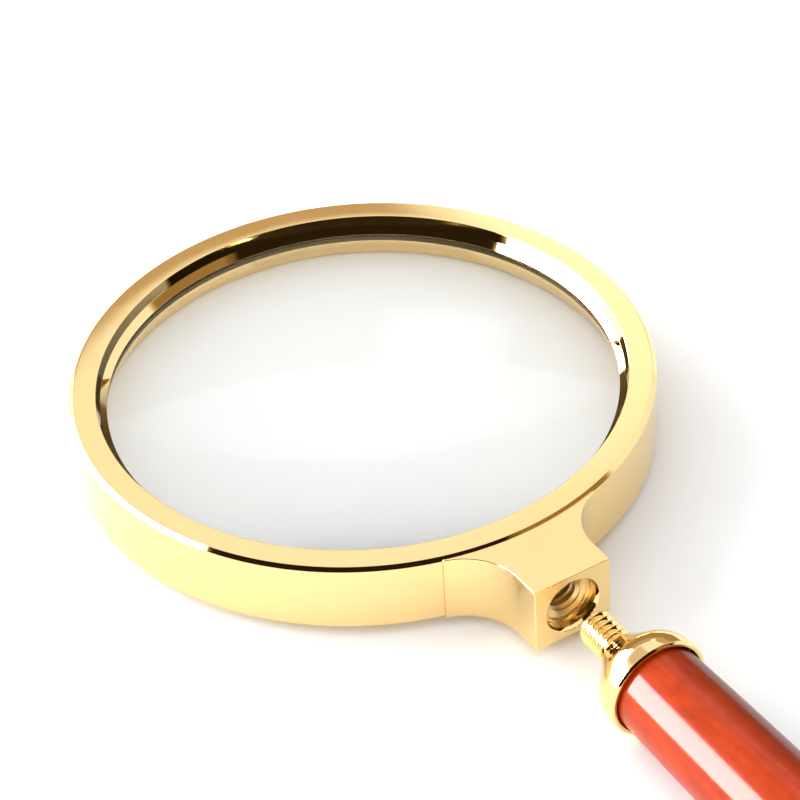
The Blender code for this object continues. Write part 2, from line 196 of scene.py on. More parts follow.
class MagnifierFinishes(PropertyGroup):
    """Colours of the magnifier's materials."""

    gold: colour_property("Gold", "Colour of the polished gold plate", "#FADEA2")
    gold_deep: colour_property("Deep gold", "Colour where the plate is thicker", "#F7D694")
    wood_light: colour_property("Early wood", "Paler grain under the lacquer", "#AE3608")
    wood_dark: colour_property("Late wood", "Darker grain under the lacquer", "#9C2C06")
    wood_pore: colour_property("Wood pore", "Open pores under the lacquer", "#7A1E06")
    # Painted shade: the dark colour laid along the handle's +X side, not a colour of the wood.
    painted_side_shade: colour_property("Painted side shade", "Darker wood along one side", "#5E1A0A")
    glass: colour_property("Glass", "Tint of the crown glass", "#FCFEFD")
    brass: colour_property("Brass", "Colour of the raw insert", "#C9A15A")
    fibre: colour_property("Fibre", "Colour of the gasket", "#2E2924")
    steel: colour_property("Steel", "Colour of the dowel screw", "#8C8C8E")
    paper: colour_property("Table", "Colour of the table top", "#F7F7F7")


class MagnifierStudio(PropertyGroup):
    """Camera and light levels."""

    focal: FloatProperty(name="Focal length", description="Camera lens, in millimetres",
                         default=135.0, min=10.0)
    heading: FloatProperty(name="Heading", description="Way the camera looks, about +Z from +X",
                           default=math.radians(60.293), subtype="ANGLE", unit="ROTATION")
    pitch: FloatProperty(name="Pitch", description="How far the camera looks down",
                         default=math.radians(38.958), subtype="ANGLE", unit="ROTATION")
    roll: FloatProperty(name="Roll", description="Lean of the camera",
                        default=math.radians(-3.8125), subtype="ANGLE", unit="ROTATION")
    place: FloatVectorProperty(name="Camera place", description="Where the camera stands",
                               default=(-0.19286, -0.28336, 0.33163), size=3,
                               subtype="TRANSLATION", unit="LENGTH", precision=5)
    dome: FloatProperty(name="Dome level", description="Brightness of the white tent",
                        default=1.15, min=0.0)
    through: FloatProperty(name="Light table level", description="Brightness through the glass",
                           default=2.0, min=0.0)


# Materials.

def add_node(tree, kind, values=None, links=None, **settings):
    """Add a node with its settings, its inputs' values and the links to its inputs."""
    node = tree.nodes.new(kind)
    for name, value in settings.items():
        setattr(node, name, value)
    for name, value in (values or {}).items():
        node.inputs[name].default_value = value
    for name, source in (links or {}).items():
        tree.links.new(source, node.inputs[name])
    return node


def new_material(name, **values):
    """Start a material and set its shader's plain sockets.

    Gives the material, its tree, its shader and the piece's own coordinates.
    """
    material = bpy.data.materials.new(name)
    material.use_nodes = True
    tree = material.node_tree
    shader = tree.nodes["Principled BSDF"]
    for key, value in values.items():
        shader.inputs[key.replace("_", " ")].default_value = value
    place = add_node(tree, "ShaderNodeTexCoord").outputs["Object"]
    return material, tree, shader, place


def per_mm(size):
    """Texture scale of a pattern that repeats about every `size` millimetres."""
    return 1.0 / (size * MM)


def polished_gold_plate():
    """Brass turned, buffed to a mirror and gold plated.

    The plate gives bright, warm mirror reflections, and the hand buffing leaves them
    very slightly wavy and hazes them a little in patches.
    """
    looks = bpy.context.scene.magnifier_finishes
    material, tree, shader, place = new_material("polished gold-plated brass", Metallic=1.0)
    patch = add_node(tree, "ShaderNodeTexNoise", {"Scale": per_mm(16.0), "Detail": 2.0},
                     {"Vector": place})
    colour = add_node(tree, "ShaderNodeMix", {6: (*looks.gold, 1.0), 7: (*looks.gold_deep, 1.0)},
                      {0: patch.outputs["Fac"]}, data_type="RGBA")
    tree.links.new(colour.outputs[2], shader.inputs["Base Color"])
    haze = add_node(tree, "ShaderNodeTexNoise", {"Scale": per_mm(5.0), "Detail": 5.0},
                    {"Vector": place})
    rough = add_node(tree, "ShaderNodeMapRange", {"From Min": 0.35, "From Max": 0.75,
                                                  "To Min": 0.025, "To Max": 0.07},
                     {"Value": haze.outputs["Fac"]})
    tree.links.new(rough.outputs["Result"], shader.inputs["Roughness"])
    wave = add_node(tree, "ShaderNodeTexNoise", {"Scale": per_mm(7.0), "Detail": 1.0},
                    {"Vector": place})
    bump = add_node(tree, "ShaderNodeBump", {"Strength": 0.25, "Distance": 0.02 * MM},
                    {"Height": wave.outputs["Fac"]})
    tree.links.new(bump.outputs["Normal"], shader.inputs["Normal"])
    return material


def satin_gold_plate():
    """Brass left as the cutter made it, then gold plated.

    The fine tool marks spread its reflections, so it looks paler and softer than the
    buffed faces beside it.
    """
    looks = bpy.context.scene.magnifier_finishes
    material, tree, shader, place = new_material("satin gold-plated brass", Metallic=1.0)
    marks = add_node(tree, "ShaderNodeTexNoise", {"Scale": per_mm(1.5), "Detail": 4.0},
                     {"Vector": place})
    colour = add_node(tree, "ShaderNodeMix", {6: (*looks.gold, 1.0), 7: (*looks.gold_deep, 1.0)},
                      {0: marks.outputs["Fac"]}, data_type="RGBA")
    tree.links.new(colour.outputs[2], shader.inputs["Base Color"])
    rough = add_node(tree, "ShaderNodeMapRange", {"To Min": 0.3, "To Max": 0.42},
                     {"Value": marks.outputs["Fac"]})
    tree.links.new(rough.outputs["Result"], shader.inputs["Roughness"])
    return material


def lacquered_rosewood():
    """Rosewood turned along the grain, stained red-brown and dipped in clear lacquer.

    Long fine streaks run along the handle, with a faint mottle across them, under a smooth coat
    that gives sharp highlights.
    The colour is also darkened towards the handle's local +X side: painted shade, not a colour of
    the wood.
    """
    looks = bpy.context.scene.magnifier_finishes
    material, tree, shader, place = new_material(
        "lacquered rosewood", Roughness=0.42, IOR=1.5, Specular_IOR_Level=0.05,
        Coat_Weight=0.46, Coat_Roughness=0.13, Coat_IOR=1.52)
    along_grain = 0.12
    streaked = add_node(tree, "ShaderNodeMapping", {"Scale": (1.0, 1.0, along_grain)},
                        {"Vector": place})
    rings = add_node(tree, "ShaderNodeTexNoise", {"Scale": per_mm(1.6), "Detail": 6.0,
                                                  "Roughness": 0.62, "Distortion": 0.6},
                     {"Vector": streaked.outputs["Vector"]})
    band = add_node(tree, "ShaderNodeMapRange", {"From Min": 0.36, "From Max": 0.66},
                    {"Value": rings.outputs["Fac"]})
    grain = add_node(tree, "ShaderNodeMix", {6: (*looks.wood_light, 1.0),
                                             7: (*looks.wood_dark, 1.0)},
                     {0: band.outputs["Result"]}, data_type="RGBA")
    pores = add_node(tree, "ShaderNodeTexNoise", {"Scale": per_mm(0.45), "Detail": 3.0},
                     {"Vector": streaked.outputs["Vector"]})
    deep = add_node(tree, "ShaderNodeMapRange", {"From Min": 0.6, "From Max": 0.78,
                                                 "To Max": 0.3},
                    {"Value": pores.outputs["Fac"]})
    colour = add_node(tree, "ShaderNodeMix", {7: (*looks.wood_pore, 1.0)},
                      {0: deep.outputs["Result"], 6: grain.outputs[2]}, data_type="RGBA")
    # Painted shade: the colour darkens smoothly towards the handle's local +X side, the side
    # turned away from the main light.
    across = add_node(tree, "ShaderNodeSeparateXYZ", links={"Vector": place})
    side_shade_mask = add_node(tree, "ShaderNodeMapRange", {"From Min": -1.0 * MM, "From Max": 7.0 * MM,
                                                  "To Max": 0.95},
                     {"Value": across.outputs["X"]}, interpolation_type="SMOOTHSTEP")
    colour = add_node(tree, "ShaderNodeMix", {7: (*looks.painted_side_shade, 1.0)},
                      {0: side_shade_mask.outputs["Result"], 6: colour.outputs[2]}, data_type="RGBA")
    mottle = add_node(tree, "ShaderNodeTexNoise", {"Scale": per_mm(3.2), "Detail": 2.0},
                      {"Vector": place})
    shade = add_node(tree, "ShaderNodeMapRange", {"From Min": 0.3, "From Max": 0.7,
                                                  "To Min": 0.88, "To Max": 1.1},
                     {"Value": mottle.outputs["Fac"]})
    final = add_node(tree, "ShaderNodeVectorMath",
                     links={0: colour.outputs[2], "Scale": shade.outputs["Result"]},
                     operation="SCALE")
    tree.links.new(final.outputs["Vector"], shader.inputs["Base Color"])
    ripple = add_node(tree, "ShaderNodeBump", {"Strength": 0.2, "Distance": 0.012 * MM},
                      {"Height": mottle.outputs["Fac"]})
    tree.links.new(ripple.outputs["Normal"], shader.inputs["Normal"])
    tree.links.new(ripple.outputs["Normal"], shader.inputs["Coat Normal"])
    return material


def optical_crown_glass():
    """Crown glass, ground and polished clear.

    It is as good as colourless, with a very faint green that varies with its depth.
    """
    looks = bpy.context.scene.magnifier_finishes
    material, tree, shader, place = new_material(
        "optical crown glass", Roughness=0.0, IOR=1.52, Transmission_Weight=1.0)
    depth = add_node(tree, "ShaderNodeTexNoise", {"Scale": per_mm(30.0), "Detail": 1.0},
                     {"Vector": place})
    clearer = tuple(min(1.0, c * 1.02) for c in looks.glass)
    colour = add_node(tree, "ShaderNodeMix", {6: (*looks.glass, 1.0), 7: (*clearer, 1.0)},
                      {0: depth.outputs["Fac"]}, data_type="RGBA")
    tree.links.new(colour.outputs[2], shader.inputs["Base Color"])
    return material


def raw_fitting(name, colour, metallic, rough_low, rough_high, grain):
    """A plain hidden surface whose roughness varies with its tool marks, `grain` mm wide."""
    material, tree, shader, place = new_material(name, Metallic=metallic)
    shader.inputs["Base Color"].default_value = (*colour, 1.0)
    marks = add_node(tree, "ShaderNodeTexNoise", {"Scale": per_mm(grain), "Detail": 4.0},
                     {"Vector": place})
    rough = add_node(tree, "ShaderNodeMapRange", {"To Min": rough_low, "To Max": rough_high},
                     {"Value": marks.outputs["Fac"]})
    tree.links.new(rough.outputs["Result"], shader.inputs["Roughness"])
    bump = add_node(tree, "ShaderNodeBump", {"Strength": 0.3, "Distance": 0.02 * MM},
                    {"Height": marks.outputs["Fac"]})
    tree.links.new(bump.outputs["Normal"], shader.inputs["Normal"])
    return material


def once(make):
    """Give a material that is made once and shared by the pieces that have it."""
    if make not in once.made:
        once.made[make] = make()
    return once.made[make]


once.made = {}


# Shapes.

def arc_points(centre, radius, start, end, steps):
    """Points of an arc, with its angles in radians."""
    angles = [start + (end - start) * i / steps for i in range(steps + 1)]
    return [(centre[0] + radius * math.cos(a), centre[1] + radius * math.sin(a))
            for a in angles]


def rounded(corners, steps=4):
    """Round each corner (x, y, radius) of a closed outline and give its points."""
    edge_share = 0.48
    nearly_straight = math.radians(88.0)
    points = []
    count = len(corners)
    for i, (x, y, radius) in enumerate(corners):
        here = Vector((x, y))
        back = Vector(corners[i - 1][:2]) - here
        on = Vector(corners[(i + 1) % count][:2]) - here
        if radius <= 0.0 or min(back.length, on.length) < TOUCHING:
            points.append((x, y))
            continue
        half = back.angle(on) / 2.0
        if half > nearly_straight:
            points.append((x, y))
            continue
        reach = min(radius / math.tan(half), edge_share * back.length, edge_share * on.length)
        radius = reach * math.tan(half)
        inwards = (back.normalized() + on.normalized()).normalized()
        middle = here + inwards * radius / math.sin(half)
        first = here + back.normalized() * reach - middle
        turn = first.angle_signed(here + on.normalized() * reach - middle)
        for k in range(steps + 1):
            spoke = first.copy()
            spoke.rotate(Matrix.Rotation(-turn * k / steps, 2))
            points.append(tuple(middle + spoke))
    return points


def eased(points, per):
    """Smooth curve through points (a Catmull-Rom spline), with `per` steps between each pair."""
    padded = [points[0]] + list(points) + [points[-1]]
    curve = []
    for a, b, c, d in zip(padded, padded[1:], padded[2:], padded[3:]):
        for k in range(per):
            t = k / per
            curve.append(tuple(
                0.5 * (2 * q + (r - p) * t + (2 * p - 5 * q + 4 * r - s) * t * t
                       + (3 * q - p - 3 * r + s) * t ** 3)
                for p, q, r, s in zip(a, b, c, d)))
    return curve + [tuple(points[-1])]


def new_piece(name, bm):
    """Turn a bmesh into an object in the scene, with its normals outwards."""
    bmesh.ops.recalc_face_normals(bm, faces=bm.faces[:])
    mesh = bpy.data.meshes.new(name)
    bm.to_mesh(mesh)
    bm.free()
    piece = bpy.data.objects.new(name, mesh)
    bpy.context.scene.collection.objects.link(piece)
    return piece


def shade(piece, angle=32.0):
    """Shade smooth between sharp edges, with normals that follow the larger faces."""
    piece.data.shade_smooth()
    piece.data.set_sharp_from_angle(angle=math.radians(angle))
    normals = piece.modifiers.new("face_weighted", "WEIGHTED_NORMAL")
    normals.weight = 90
    normals.keep_sharp = True


def turned(name, outline, steps):
    """Turn a closed outline of (radius, height) points about local Z."""
    bm = bmesh.new()
    loops = []
    for radius, height in outline:
        if radius < TOUCHING:
            loops.append([bm.verts.new((0.0, 0.0, height))])
            continue
        loops.append([
            bm.verts.new((radius * math.cos(a), radius * math.sin(a), height))
            for a in (2.0 * math.pi * i / steps for i in range(steps))])
    for lower, upper in zip(loops, loops[1:] + loops[:1]):
        if len(lower) == 1 and len(upper) == 1:
            continue
        for i in range(steps):
            j = (i + 1) % steps
            quad = [lower[i % len(lower)], lower[j % len(lower)],
                    upper[j % len(upper)], upper[i % len(upper)]]
            bm.faces.new(dict.fromkeys(quad))
    return new_piece(name, bm)


def coil(name, section, first, turns, steps):
    """Sweep a closed (radius, height) section along a right-hand helix."""
    bm = bmesh.new()
    loops = []
    for i in range(int(turns * steps) + 1):
        angle = 2.0 * math.pi * i / steps
        rise = first + PITCH * i / steps
        loops.append([bm.verts.new((r * math.cos(angle), r * math.sin(angle), z + rise))
                      for r, z in section])
    for near, far in zip(loops, loops[1:]):
        for i in range(len(section)):
            j = (i + 1) % len(section)
            bm.faces.new((near[i], near[j], far[j], far[i]))
    bm.faces.new(loops[0])
    bm.faces.new(reversed(loops[-1]))
    return new_piece(name, bm)


def carve(piece, cutter):
    """Cut one closed piece out of another and remove the cutter."""
    boolean = piece.modifiers.new("cut", "BOOLEAN")
    boolean.operation = "DIFFERENCE"
    boolean.solver = "EXACT"
    boolean.object = cutter
    settle(piece)
    bpy.data.objects.remove(cutter, do_unlink=True)


def settle(piece):
    """Replace a piece's mesh by what its modifiers make of it."""
    bpy.context.view_layer.update()
    graph = bpy.context.evaluated_depsgraph_get()
    mesh = bpy.data.meshes.new_from_object(piece.evaluated_get(graph))
    piece.modifiers.clear()
    piece.data = mesh
    if not mesh.polygons:
        raise RuntimeError(piece.name + " has lost its faces")


def fit_out(piece, node, body, make_material):
    """Put a finished piece in a solid's place, on its body and in its finish."""
    piece.data.materials.clear()
    piece.data.materials.append(once(make_material))
    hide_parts(node)
    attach(piece, body)


def leave_satin(piece, is_satin):
    """Give the unbuffed faces of a piece their satin finish."""
    piece.data.materials.append(once(satin_gold_plate))
    for face in piece.data.polygons:
        if is_satin(face):
            face.material_index = 1


def on_head(piece):
    """Stand a piece on the ring's axis."""
    piece.location = RING_PLACE


def on_handle(piece):
    """Lay a piece on the handle's axis, from its stud's tip."""
    piece.matrix_world = HANDLE_PLACE


class MAGNIFIER_OT_ring_band(Operator):
    """Turn the outer band with its bevelled edges, seat and bezel room."""

    bl_idname = "magnifier.ring_band"
    bl_label = "Ring Band"

    def execute(self, context):
        sizes = context.scene.magnifier_sizes
        rebate_r = BEZEL_R + SEAM
        rebate_z = BEZEL_TOP - FLANGE_T - SEAM
        band_top = BEZEL_TOP - SEAM
        bevel = 0.62 * MM
        back_bevel = bevel / 2.0
        taper = 0.3 * MM
        lip_t = 1.2 * MM
        fine = 0.07 * MM
        corners = [
            (rebate_r, band_top, 0.0),
            (RING_R - bevel, band_top, fine),
            (RING_R, band_top - bevel, fine),
            (RING_R, back_bevel, fine),
            (RING_R - back_bevel, 0.0, fine),
            (REAR_MOUTH_R, 0.0, 0.3 * MM),
            (REAR_MOUTH_R - taper, 2.0 * MM, 1.0 * MM),
            (LIP_R, SEAT_Z - lip_t, 0.4 * MM),
            (LIP_R, SEAT_Z, fine),
            (SEAT_R, SEAT_Z, fine),
            (SEAT_R, SKIRT_LOW - SEAM, 0.0),
            (SKIRT_R + SEAM, SKIRT_LOW - SEAM, 0.0),
            (SKIRT_R + SEAM, rebate_z, 0.0),
            (rebate_r, rebate_z, 0.0),
        ]
        band = turned("ring_band", rounded(corners), sizes.head_steps)
        on_head(band)
        shade(band)
        fit_out(band, "frame_ring", "head", polished_gold_plate)
        inside_seat = SEAT_R - 0.05 * MM
        leave_satin(band, lambda face: face.center.xy.length < inside_seat)
        return {"FINISHED"}


class MAGNIFIER_OT_bezel(Operator):
    """Turn the screwed-in flange ring that holds the glass down."""

    bl_idname = "magnifier.bezel"
    bl_label = "Bezel"

    def execute(self, context):
        sizes = context.scene.magnifier_sizes
        flange_low = BEZEL_TOP - FLANGE_T
        skirt_inner_r = SEAT_R - 0.1 * MM
        lip_z = LENS_EDGE_HIGH + 0.3 * MM
        dish = 0.03 * MM
        fine = 0.06 * MM
        corners = [
            (MOUTH_R, BEZEL_TOP - dish, 0.12 * MM),
            (SKIRT_R, BEZEL_TOP, 0.2 * MM),
            (BEZEL_R, BEZEL_TOP, 0.0),
            (BEZEL_R, flange_low, 0.0),
            (SKIRT_R, flange_low, 0.0),
            (SKIRT_R, SKIRT_LOW, 0.0),
            (skirt_inner_r, SKIRT_LOW, 0.0),
            (skirt_inner_r, lip_z, 0.0),
            (LIP_R, lip_z, fine),
            (MOUTH_R - 0.55 * MM, lip_z + 1.4 * MM, 0.25 * MM),
        ]
        bezel = turned("bezel_flange", rounded(corners), sizes.head_steps)
        on_head(bezel)
        shade(bezel)
        fit_out(bezel, "front_bezel", "head", polished_gold_plate)
        return {"FINISHED"}


class MAGNIFIER_OT_glass(Operator):
    """Grind the biconvex magnifying glass."""

    bl_idname = "magnifier.glass"
    bl_label = "Glass"

    def execute(self, context):
        sizes = context.scene.magnifier_sizes
        curve_steps = 28
        sag = LENS_HIGH - LENS_EDGE_HIGH
        radius = (LENS_R ** 2 + sag ** 2) / (2.0 * sag)
        half = math.asin(LENS_R / radius)
        upright = math.pi / 2.0
        outline = arc_points((0.0, LENS_HIGH - radius), radius,
                             upright, upright - half, curve_steps)
        outline += arc_points((0.0, LENS_LOW + radius), radius,
                              half - upright, -upright, curve_steps)
        glass = turned("magnifying_lens", outline, sizes.head_steps)
        on_head(glass)
        shade(glass)
        fit_out(glass, "lens", "head", optical_crown_glass)
        return {"FINISHED"}


def neck_outline(sizes):
    """Plan of the neck about the ring's centre, with -Y outwards."""
    half = sizes.neck_width / 2.0
    flare_r = sizes.flare_radius
    inner_r = RING_R + sizes.saddle_gap
    outer_r = inner_r + sizes.foot_height
    across = half + flare_r
    reach = math.sqrt((outer_r + flare_r) ** 2 - across ** 2)
    foot = math.atan2(across, reach)
    flare_steps, saddle_steps = 40, 48
    flare = arc_points((across, -reach), flare_r, math.pi, math.pi / 2.0 + foot, flare_steps)
    right = [(half, -NECK_FACE)] + flare
    left = [(-x, y) for x, y in reversed(right)]
    saddle = arc_points((0.0, 0.0), inner_r, foot - math.pi / 2.0, -foot - math.pi / 2.0,
                        saddle_steps)
    return right + saddle + left


def socket_cutter(steps):
    """Round cutter of the countersunk, stepped and drilled hole."""
    proud = 1.0 * MM
    corners = [
        (SOCKET_MOUTH_R + 0.1 * MM, proud, 0.0),
        (SOCKET_MOUTH_R, 0.0, 0.0),
        (SOCKET_MOUTH_R - 0.08 * MM, -0.08 * MM, 0.05 * MM),
        (COUNTERBORE_R, -0.6 * MM, 0.12 * MM),
        (COUNTERBORE_R, -COUNTERBORE_DEPTH, 0.25 * MM),
        (SOCKET_STEP_R, -COUNTERBORE_DEPTH, 0.1 * MM),
        (SOCKET_MINOR_R, -COUNTERBORE_DEPTH - 0.8 * MM, 0.1 * MM),
        (SOCKET_MINOR_R, -SOCKET_DEPTH, 0.0),
    ]
    drill_point = (0.0, -SOCKET_DEPTH - 1.0 * MM, 0.0)
    outline = rounded([(0.0, proud, 0.0)] + corners + [drill_point])
    cutter = turned("socket_cutter", outline, steps)
    cutter.matrix_world = SOCKET_PLACE
    return cutter


def socket_thread_cutter(steps):
    """Helical cutter of the socket's thread, in step with the stud's crests."""
    turns = 6
    root = SOCKET_MINOR_R - 0.15 * MM
    wide = CREST_HALF + THREAD_CLEAR + FLANK * (STUD_MAJOR_R - root)
    narrow = CREST_HALF + THREAD_CLEAR - FLANK * (SOCKET_MAJOR_R - STUD_MAJOR_R)
    corners = [(root, -wide, 0.0), (SOCKET_MAJOR_R, -narrow, 0.07 * MM),
               (SOCKET_MAJOR_R, narrow, 0.07 * MM), (root, wide, 0.0)]
    first = REST_GAP + PITCH / 2.0
    deepest = 0.4 * MM - SOCKET_DEPTH
    while first > deepest + PITCH:
        first -= PITCH
    cutter = coil("socket_thread_cutter", rounded(corners, 3), first, turns, steps)
    cutter.matrix_world = SOCKET_PLACE
    return cutter


class MAGNIFIER_OT_neck(Operator):
    """Mill the square neck with its flares, polished edges and threaded socket."""

    bl_idname = "magnifier.neck"
    bl_label = "Neck"

    def execute(self, context):
        sizes = context.scene.magnifier_sizes
        bm = bmesh.new()
        plan = neck_outline(sizes)
        floor = [bm.verts.new((x, y, 0.0)) for x, y in plan]
        roof = [bm.verts.new((x, y, RING_H)) for x, y in plan]
        bm.faces.new(floor)
        bm.faces.new(roof)
        for i in range(len(plan)):
            j = (i + 1) % len(plan)
            bm.faces.new((floor[i], floor[j], roof[j], roof[i]))
        neck = new_piece("neck_boss", bm)
        on_head(neck)
        bevel = neck.modifiers.new("polished_edges", "BEVEL")
        bevel.width = sizes.neck_round
        bevel.segments = 4
        bevel.limit_method = "ANGLE"
        bevel.angle_limit = math.radians(35.0)
        carve(neck, socket_cutter(sizes.thread_steps))
        carve(neck, socket_thread_cutter(sizes.thread_steps))
        shade(neck, 28.0)
        fit_out(neck, "neck_block", "head", polished_gold_plate)
        axis_z = AXIS_Z - RING_PLACE.z
        thread_start = COUNTERBORE_DEPTH - NECK_FACE

        def as_cut(face):
            x, y, z = face.center
            in_thread = y > thread_start and math.hypot(x, z - axis_z) < SOCKET_STEP_R
            return in_thread or face.normal.y < -0.999

        leave_satin(neck, as_cut)
        return {"FINISHED"}


class MAGNIFIER_OT_stud(Operator):
    """Cut the gold-plated stud with its right-hand thread."""

    bl_idname = "magnifier.stud"
    bl_label = "Threaded Stud"

    def execute(self, context):
        sizes = context.scene.magnifier_sizes
        corners = [
            (0.0, STUD_LEN, 0.0),
            (STUD_SHANK_R - 0.5 * MM, STUD_LEN, 0.05 * MM),
            (STUD_SHANK_R, STUD_LEN - 0.5 * MM, 0.05 * MM),
            (STUD_SHANK_R, THREAD_LEN + 1.4 * MM, 0.1 * MM),
            (STUD_MINOR_R, THREAD_LEN + 1.0 * MM, 0.2 * MM),
            (STUD_MINOR_R, THREAD_LEN - 0.2 * MM, 0.1 * MM),
            (STUD_MAJOR_R, THREAD_LEN - 0.6 * MM, 0.05 * MM),
            (STUD_MAJOR_R, 0.7 * MM, 0.1 * MM),
            (STUD_MINOR_R - 0.1 * MM, 0.0, 0.06 * MM),
            (0.0, 0.0, 0.0),
        ]
        stud = turned("threaded_screw", rounded(corners), sizes.thread_steps)
        middle = PITCH / 2.0
        floor_half = middle - CREST_HALF - FLANK * (STUD_MAJOR_R - STUD_MINOR_R)
        outer = STUD_MAJOR_R + 0.14 * MM
        outer_half = middle - CREST_HALF + FLANK * (outer - STUD_MAJOR_R)
        groove = [(STUD_MINOR_R, -floor_half, 0.08 * MM), (outer, -outer_half, 0.0),
                  (outer, outer_half, 0.0), (STUD_MINOR_R, floor_half, 0.08 * MM)]
        turns = round(THREAD_LEN / PITCH) + 1
        carve(stud, coil("stud_groove", rounded(groove, 3), -PITCH, turns, sizes.thread_steps))
        on_handle(stud)
        shade(stud, 28.0)
        fit_out(stud, "threaded_stud", "handle", polished_gold_plate)
        return {"FINISHED"}


class MAGNIFIER_OT_ferrule(Operator):
    """Turn the flared collar that is cupped round the grip."""

    bl_idname = "magnifier.ferrule"
    bl_label = "Ferrule"

    def execute(self, context):
        sizes = context.scene.magnifier_sizes
        # A little shorter than the solid's, to leave more of the thread in sight.
        nose = NOSE + 1.2 * MM
        flare = eased([
            (FERRULE_R, 16.2 * MM),
            (8.65 * MM, 15.2 * MM),
            (8.42 * MM, 14.1 * MM),
            (7.95 * MM, 12.95 * MM),
            (7.1 * MM, 11.8 * MM),
            (5.85 * MM, 10.3 * MM),
            (4.7 * MM, 8.9 * MM),
            (NOSE_R + 0.03 * MM, nose + 0.15 * MM),
        ], 6)
        fine = 0.1 * MM
        corners = [
            (FERRULE_R - 0.35 * MM, FERRULE_BACK, 0.15 * MM),
            (FERRULE_R, FERRULE_BACK - 0.35 * MM, 0.15 * MM),
        ]
        corners += [(r, z, 0.0) for r, z in flare]
        corners += [
            (NOSE_R - 0.1 * MM, nose, 0.0),
            (FERRULE_BORE_R, nose, fine),
            (FERRULE_BORE_R, POCKET_START, fine),
            (POCKET_R, POCKET_START, fine),
            (POCKET_R, SHOULDER, fine),
            (GRIP_START_R + 0.11 * MM, SHOULDER, 0.05 * MM),
            (GRIP_START_R + 0.2 * MM, FERRULE_BACK - 0.25 * MM, 0.1 * MM),
            (FERRULE_R - 0.8 * MM, FERRULE_BACK, 0.1 * MM),
        ]
        ferrule = turned("flared_ferrule", rounded(corners), sizes.handle_steps)
        on_handle(ferrule)
        shade(ferrule)
        fit_out(ferrule, "ferrule", "collar", polished_gold_plate)
        return {"FINISHED"}


def grip_radius(t):
    """Radius of the grip at t, from 0 at its shoulder to 1 at its cap."""
    base = GRIP_START_R + (GRIP_END_R - GRIP_START_R) * t
    swell = GRIP_BELLY_R - (GRIP_START_R + GRIP_END_R) / 2.0
    return base + swell * max(0.0, math.sin(math.pi * t)) ** 0.8


class MAGNIFIER_OT_grip(Operator):
    """Turn the wooden grip, bored and tenoned at both ends."""

    bl_idname = "magnifier.grip"
    bl_label = "Grip"

    def execute(self, context):
        sizes = context.scene.magnifier_sizes
        side_steps = 60
        length = GRIP_END - GRIP_START
        corners = [
            (0.0, CAP_STUD_START, 0.0),
            (CAP_STUD_ROOM_R, CAP_STUD_START, 0.0),
            (CAP_STUD_ROOM_R, GRIP_HIGH, 0.1 * MM),
            (TENON_R, GRIP_HIGH, 0.2 * MM),
            (TENON_R, GRIP_END, 0.0),
        ]
        for i in range(side_steps + 1):
            t = 1.0 - i / side_steps
            corner = 0.35 * MM if i in (0, side_steps) else 0.0
            corners.append((grip_radius(t), GRIP_START + length * t, corner))
        corners += [
            (TENON_R, GRIP_START, 0.0),
            (TENON_R, GRIP_LOW, 0.2 * MM),
            (INSERT_ROOM_R, GRIP_LOW, 0.1 * MM),
            (INSERT_ROOM_R, INSERT_ROOM_END, 0.0),
            (0.0, INSERT_ROOM_END, 0.0),
        ]
        grip = turned("turned_grip", rounded(corners), sizes.handle_steps)
        on_handle(grip)
        shade(grip)
        fit_out(grip, "grip", "handle", lacquered_rosewood)
        return {"FINISHED"}


class MAGNIFIER_OT_end_cap(Operator):
    """Turn the domed cap with its bead and groove."""

    bl_idname = "magnifier.end_cap"
    bl_label = "End Cap"

    def execute(self, context):
        sizes = context.scene.magnifier_sizes
        flat_r = 3.2 * MM
        dome = eased([
            (flat_r, CAP_END),
            (5.6 * MM, CAP_END - 0.7 * MM),
            (7.3 * MM, CAP_END - 1.9 * MM),
            (CAP_R - 0.3 * MM, CAP_END - 3.4 * MM),
            (CAP_R, CAP_END - 4.8 * MM),
            (CAP_R - 0.2 * MM, CAP_END - 6.0 * MM),
            (7.72 * MM, CAP_END - 6.8 * MM),
        ], 6)
        corners = [(0.0, CAP_END, 0.0)]
        corners += [(r, z, 0.0) for r, z in dome]
        corners += [
            (7.7 * MM, CAP_END - 7.4 * MM, 0.1 * MM),
            (CAP_R - 0.2 * MM, CAP_LOW + 1.2 * MM, 0.25 * MM),
            (CAP_R - 0.2 * MM, CAP_LOW + 0.4 * MM, 0.25 * MM),
            (CAP_R - 0.6 * MM, CAP_LOW, 0.15 * MM),
            (POCKET_R, CAP_LOW, 0.1 * MM),
            (POCKET_R, CAP_POCKET_END, 0.0),
            (CAP_STUD_ROOM_R, CAP_POCKET_END, 0.0),
            (CAP_STUD_ROOM_R, CAP_STUD_END, 0.0),
            (0.0, CAP_STUD_END, 0.0),
        ]
        cap = turned("domed_cap", rounded(corners), sizes.handle_steps)
        on_handle(cap)
        shade(cap)
        fit_out(cap, "end_cap", "handle", polished_gold_plate)
        return {"FINISHED"}


class MAGNIFIER_OT_hidden_fittings(Operator):
    """Finish the gasket, the insert and the dowel screw inside the magnifier."""

    bl_idname = "magnifier.hidden_fittings"
    bl_label = "Hidden Fittings"

    def execute(self, context):
        looks = context.scene.magnifier_finishes
        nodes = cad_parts
        finishes = {
            # Vulcanised fibre, pressed and stamped: dull, dark and slightly hairy.
            "lens_gasket": ("vulcanised fibre", looks.fibre, 0.0, 0.7, 0.9, 0.4),
            # Free-cutting brass straight from the lathe: a dull gold with fine tool marks.
            "grip_insert": ("turned brass", looks.brass, 1.0, 0.22, 0.4, 0.6),
            # Bright mild steel with a rolled thread: grey and slightly rough.
            "cap_stud": ("bright mild steel", looks.steel, 1.0, 0.28, 0.45, 0.5),
        }
        for name, finish in finishes.items():
            material = raw_fitting(*finish)
            node = nodes[name]
            if not node.material_slots:
                node.data.materials.append(material)
            for slot in node.material_slots:
                slot.material = material
        return {"FINISHED"}


# Studio.

